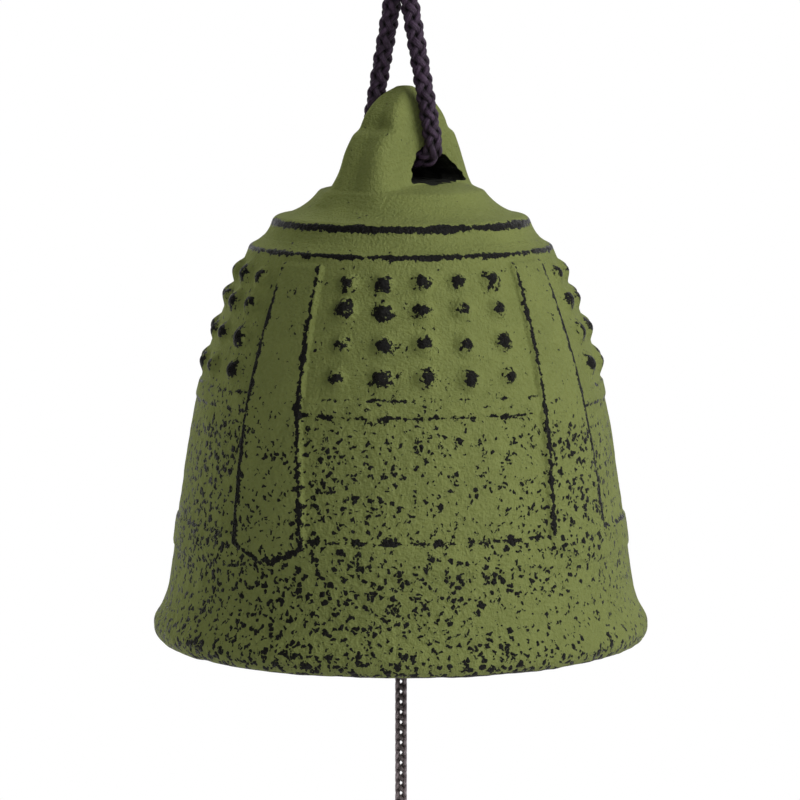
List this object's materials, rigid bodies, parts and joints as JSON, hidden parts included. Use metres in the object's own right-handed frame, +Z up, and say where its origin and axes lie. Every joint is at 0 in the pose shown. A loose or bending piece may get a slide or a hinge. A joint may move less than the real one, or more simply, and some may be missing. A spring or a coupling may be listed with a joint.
{
  "type": "wind bell",
  "caption": "Cast-iron wind bell with a studded temple-bell body, hung on a doubled braided cord, with a clapper inside and a paper wind catcher below",
  "frame": {"origin": "where a hook bears in the top of the hanging loop", "axes": "+Z up; the hole through the bell's lug runs along Y, and the lug's broad faces look along +Y and -Y; the picture looks at the -X -Y side"},
  "size_m": [0.0668, 0.0668, 0.2394],
  "materials": {
    "bell_iron": "sand cast, with matt olive green paint that is worn to black iron on the raised edges",
    "clapper_iron": "sand cast, dark and matt",
    "eye_wire": "plain drawn wire, darkened by the casting",
    "hanging_cord": "round braid of dark purple-black yarn",
    "clapper_cord": "thin flat braid of dark grey yarn",
    "paper": "plain matt card paper"
  },
  "bodies": {
    "loop": {"hanging_loop": "hanging_cord"},
    "hanger": {"hanger_knot": "hanging_cord"},
    "legs": {"hanging_cord": "hanging_cord"},
    "bell": {"bell": "bell_iron", "clapper_eye": "eye_wire", "eye_loop": "clapper_cord"},
    "swivel": {"clapper_knot": "clapper_cord"},
    "clapper": {"clapper_cord": "clapper_cord", "clapper": "clapper_iron", "stop_knot": "clapper_cord"},
    "tail": {"tail_cord": "clapper_cord"},
    "paper_swivel": {"paper_knot": "clapper_cord"},
    "paper_holder": {"paper_loop": "clapper_cord"},
    "paper": {"wind_paper": "paper"}
  },
  "joints": [
    {"name": "hanger_swing", "type": "hinge", "parent": "loop", "child": "hanger", "pos_m": [0, 0, -0.028], "axis": [1, 0, 0], "range_deg": [-25, 25]},
    {"name": "legs_swing", "type": "hinge", "parent": "hanger", "child": "legs", "pos_m": [0, 0, -0.028], "axis": [0, 1, 0], "range_deg": [-25, 25]},
    {"name": "bell_rock", "type": "hinge", "parent": "legs", "child": "bell", "pos_m": [0, 0, -0.0528], "axis": [0, 1, 0], "range_deg": [-15, 15]},
    {"name": "clapper_turn", "type": "hinge", "parent": "bell", "child": "swivel", "pos_m": [0, 0, -0.0687], "axis": [0, 0, 1], "continuous": true},
    {"name": "clapper_swing", "type": "hinge", "parent": "swivel", "child": "clapper", "pos_m": [0, 0, -0.0687], "axis": [1, 0, 0], "range_deg": [-28.5, 28.5]},
    {"name": "tail_swing", "type": "hinge", "parent": "clapper", "child": "tail", "pos_m": [0, 0, -0.1059], "axis": [-1, 0, 0], "range_deg": [-28.5, 28.5]},
    {"name": "paper_turn", "type": "hinge", "parent": "tail", "child": "paper_swivel", "pos_m": [0, 0, -0.1425], "axis": [0, 0, 1], "continuous": true},
    {"name": "paper_flap", "type": "hinge", "parent": "paper_swivel", "child": "paper_holder", "pos_m": [0, 0, -0.1425], "axis": [1, 0, 0], "range_deg": [-45, 45]},
    {"name": "paper_swing", "type": "hinge", "parent": "paper_holder", "child": "paper", "pos_m": [0, 0, -0.1505], "axis": [0, 1, 0], "range_deg": [-20, 20]}
  ]
}
